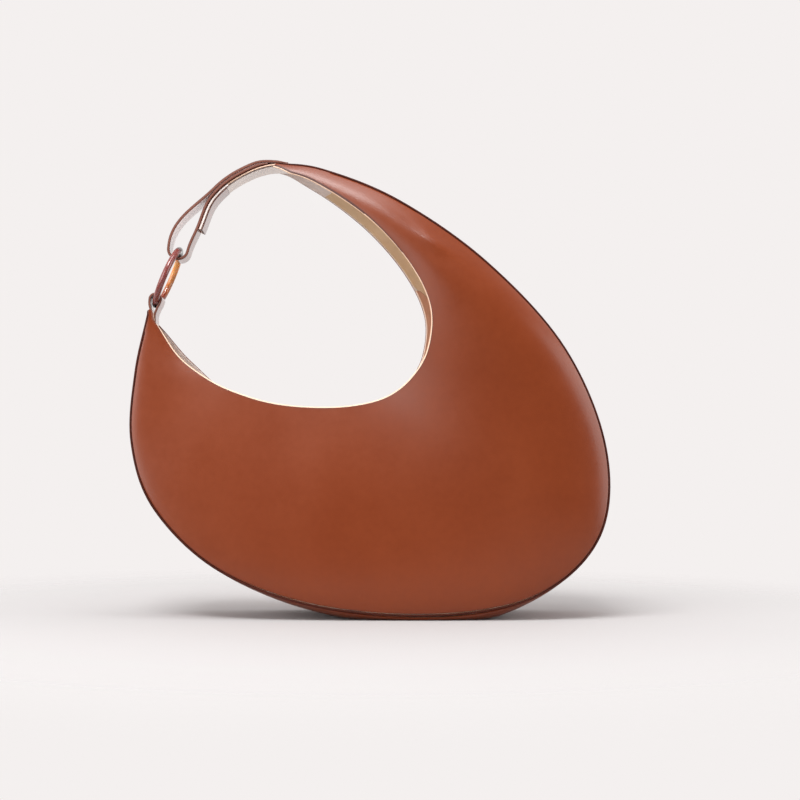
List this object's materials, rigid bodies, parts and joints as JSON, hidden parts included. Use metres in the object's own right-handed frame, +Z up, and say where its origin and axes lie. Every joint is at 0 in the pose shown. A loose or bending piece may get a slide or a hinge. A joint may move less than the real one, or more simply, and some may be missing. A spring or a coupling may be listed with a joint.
{
  "type": "shoulder bag",
  "caption": "Crescent-shaped leather shoulder bag with a wide arm opening, an arch handle and a resin ring that joins a folded strap to the bag's tip.",
  "frame": {"origin": "centre of the footprint of the bounding box, on the surface that the bag stands on", "axes": "+X to the bag's right in the picture, away from the ring; +Y to the back of the bag; +Z up"},
  "size_m": [0.3511, 0.1158, 0.3387],
  "materials": {
    "tan_leather": "smooth polished calf leather, red-brown, soft sheen",
    "strap_leather": "smooth folded calf leather with darker painted edges",
    "dark_edge_paint": "dark brown edge paint on the raised seams",
    "beige_suede": "pale beige suede-like lining",
    "brown_facing": "satin brown leather facing",
    "amber_resin": "polished tortoise resin, amber with dark red-brown clouds",
    "base_fibreboard": "plain fibreboard, hidden under the lining",
    "aged_brass": "aged satin brass"
  },
  "bodies": {
    "bag": {"front_panel": "tan_leather", "back_panel": "tan_leather", "gusset_band": "tan_leather", "front_welt": "dark_edge_paint", "back_welt": "dark_edge_paint", "front_lining": "beige_suede", "back_lining": "beige_suede", "gusset_lining": "beige_suede", "front_facing": "brown_facing", "back_facing": "brown_facing", "slip_pocket": "beige_suede", "base_board": "base_fibreboard", "front_magnet": "aged_brass", "back_magnet": "aged_brass", "strap_loop": "strap_leather", "tail_patch": "tan_leather", "ring_tab": "strap_leather"},
    "ring": {"ring": "amber_resin"}
  },
  "joints": [
    {"name": "ring_spin", "type": "hinge", "parent": "bag", "child": "ring", "pos_m": [-0.1498, 0, 0.2529], "axis": [0.9164, 0, -0.4003], "continuous": true}
  ]
}
